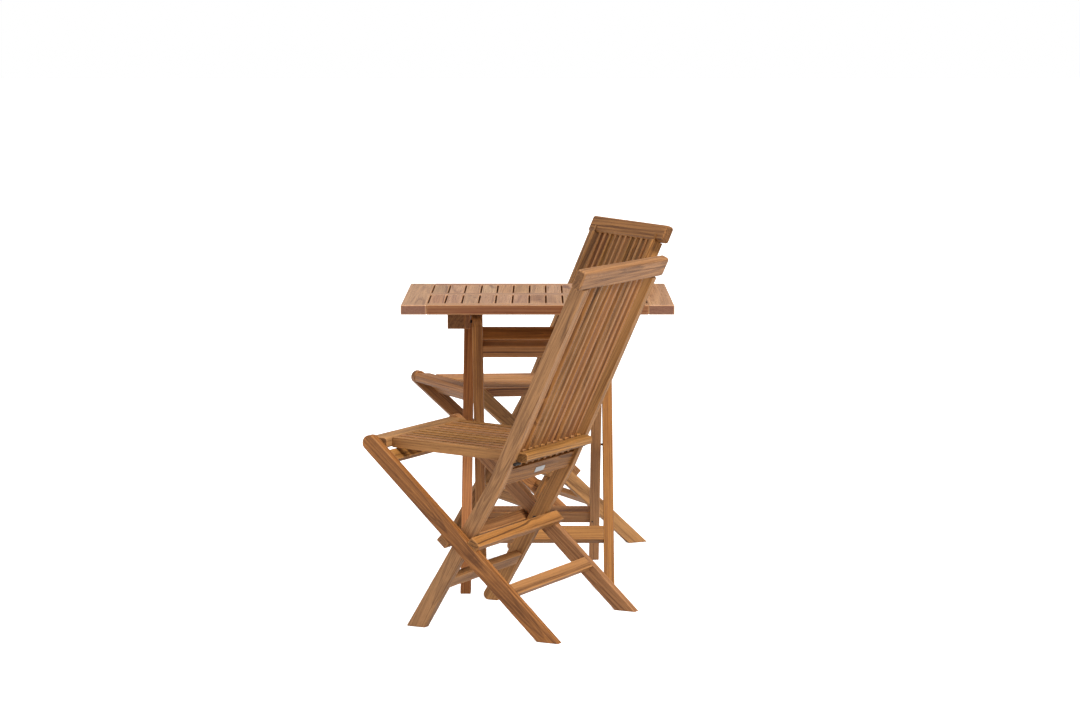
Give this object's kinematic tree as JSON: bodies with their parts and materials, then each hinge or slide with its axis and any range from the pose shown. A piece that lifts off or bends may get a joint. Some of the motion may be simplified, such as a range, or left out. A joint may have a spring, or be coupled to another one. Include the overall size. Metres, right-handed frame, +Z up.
{
  "type": "folding patio dining set",
  "caption": "Folding slatted wooden patio dining set: a rectangular table on crossed legs with slatted folding chairs whose seats swing up.",
  "frame": {"origin": "on the floor, in the middle of the set's footprint", "axes": "+Z up, +Y away from the near chair towards the far chair, +X to the right along the table's wider side"},
  "size_m": [0.8076, 1.8676, 0.8966],
  "materials": {
    "teak_table_top": "sanded teak, natural oil",
    "teak_table_legs": "sanded teak, natural oil",
    "teak_chair": "sanded teak, natural oil",
    "steel": "stainless steel",
    "plate": "satin blank plate"
  },
  "bodies": {
    "table_outer_frame": {"table_outer_top_rail": "teak_table_legs", "table_outer_low_rail": "teak_table_legs", "table_outer_leg_left": "teak_table_legs", "table_outer_leg_right": "teak_table_legs", "table_crossing_bolts": "steel", "table_top_hinge_bolts": "steel"},
    "table_inner_frame": {"table_inner_top_rail": "teak_table_legs", "table_inner_low_rail": "teak_table_legs", "table_inner_leg_left": "teak_table_legs", "table_inner_leg_right": "teak_table_legs", "table_lock_pins": "steel"},
    "table_top": {"table_top_side_board_left": "teak_table_top", "table_top_side_board_right": "teak_table_top", "table_top_near_rail": "teak_table_top", "table_top_far_rail": "teak_table_top", "table_top_centre_rail": "teak_table_top", "table_top_slats": "teak_table_top", "table_batten_left": "teak_table_legs", "table_batten_right": "teak_table_legs"},
    "chair_1_back_frame": {"chair_1_post_left": "teak_chair", "chair_1_post_right": "teak_chair", "chair_1_top_rail": "teak_chair", "chair_1_lower_back_rail": "teak_chair", "chair_1_back_slats": "teak_chair", "chair_1_post_stretcher": "teak_chair", "chair_1_blank_plate": "plate", "chair_1_seat_rest_pins": "steel"},
    "chair_1_leg_frame": {"chair_1_seat_rest_rail": "teak_chair", "chair_1_leg_stretcher": "teak_chair", "chair_1_front_stop_rail": "teak_chair", "chair_1_rear_stop_rail": "teak_chair", "chair_1_leg_left": "teak_chair", "chair_1_leg_right": "teak_chair", "chair_1_pivot_pins": "steel"},
    "chair_1_seat": {"chair_1_seat_front_rail": "teak_chair", "chair_1_seat_rear_rail": "teak_chair", "chair_1_seat_side_left": "teak_chair", "chair_1_seat_side_right": "teak_chair", "chair_1_seat_slats": "teak_chair"},
    "chair_2_back_frame": {"chair_2_post_left": "teak_chair", "chair_2_post_right": "teak_chair", "chair_2_top_rail": "teak_chair", "chair_2_lower_back_rail": "teak_chair", "chair_2_back_slats": "teak_chair", "chair_2_post_stretcher": "teak_chair", "chair_2_blank_plate": "plate", "chair_2_seat_rest_pins": "steel"},
    "chair_2_leg_frame": {"chair_2_seat_rest_rail": "teak_chair", "chair_2_leg_stretcher": "teak_chair", "chair_2_front_stop_rail": "teak_chair", "chair_2_rear_stop_rail": "teak_chair", "chair_2_leg_left": "teak_chair", "chair_2_leg_right": "teak_chair", "chair_2_pivot_pins": "steel"},
    "chair_2_seat": {"chair_2_seat_front_rail": "teak_chair", "chair_2_seat_rear_rail": "teak_chair", "chair_2_seat_side_left": "teak_chair", "chair_2_seat_side_right": "teak_chair", "chair_2_seat_slats": "teak_chair"}
  },
  "joints": [
    {"name": "table_legs_fold", "type": "hinge", "parent": "table_outer_frame", "child": "table_inner_frame", "pos_m": [0.02311, -0.00653, 0.351], "axis": [-1, 0, 0], "range_deg": [0, 61.5]},
    {"name": "table_top_lift", "type": "hinge", "parent": "table_outer_frame", "child": "table_top", "pos_m": [0.02311, 0.23478, 0.7045], "axis": [-1, 0, 0], "range_deg": [0, 124.3]},
    {"name": "chair_1_pull_out", "type": "slide", "parent": "table_outer_frame", "child": "chair_1_back_frame", "axis": [0.8905, -0.4549, 0], "range_m": [0, 0.4]},
    {"name": "chair_1_fold", "type": "hinge", "parent": "chair_1_back_frame", "child": "chair_1_leg_frame", "pos_m": [-0.06519, -0.57073, 0.222], "axis": [0.4549, 0.8905, 0], "range_deg": [0, 66]},
    {"name": "chair_1_seat_swing", "type": "hinge", "parent": "chair_1_leg_frame", "child": "chair_1_seat", "pos_m": [-0.28443, -0.45872, 0.44918], "axis": [-0.4549, -0.8905, 0], "range_deg": [0, 119.47]},
    {"name": "chair_2_pull_out", "type": "slide", "parent": "table_outer_frame", "child": "chair_2_back_frame", "axis": [0.9037, 0.4281, 0], "range_m": [0, 0.4]},
    {"name": "chair_2_fold", "type": "hinge", "parent": "chair_2_back_frame", "child": "chair_2_leg_frame", "pos_m": [-0.00579, 0.57678, 0.222], "axis": [-0.4281, 0.9037, 0], "range_deg": [0, 66]},
    {"name": "chair_2_seat_swing", "type": "hinge", "parent": "chair_2_leg_frame", "child": "chair_2_seat", "pos_m": [-0.22828, 0.47137, 0.44918], "axis": [0.4281, -0.9037, 0], "range_deg": [0, 119.47]}
  ],
  "couplings": [
    {"joint": "table_top_lift", "follows": "table_legs_fold", "ratio": 2.021},
    {"joint": "chair_1_seat_swing", "follows": "chair_1_fold", "ratio": 1.81},
    {"joint": "chair_2_seat_swing", "follows": "chair_2_fold", "ratio": 1.81}
  ]
}
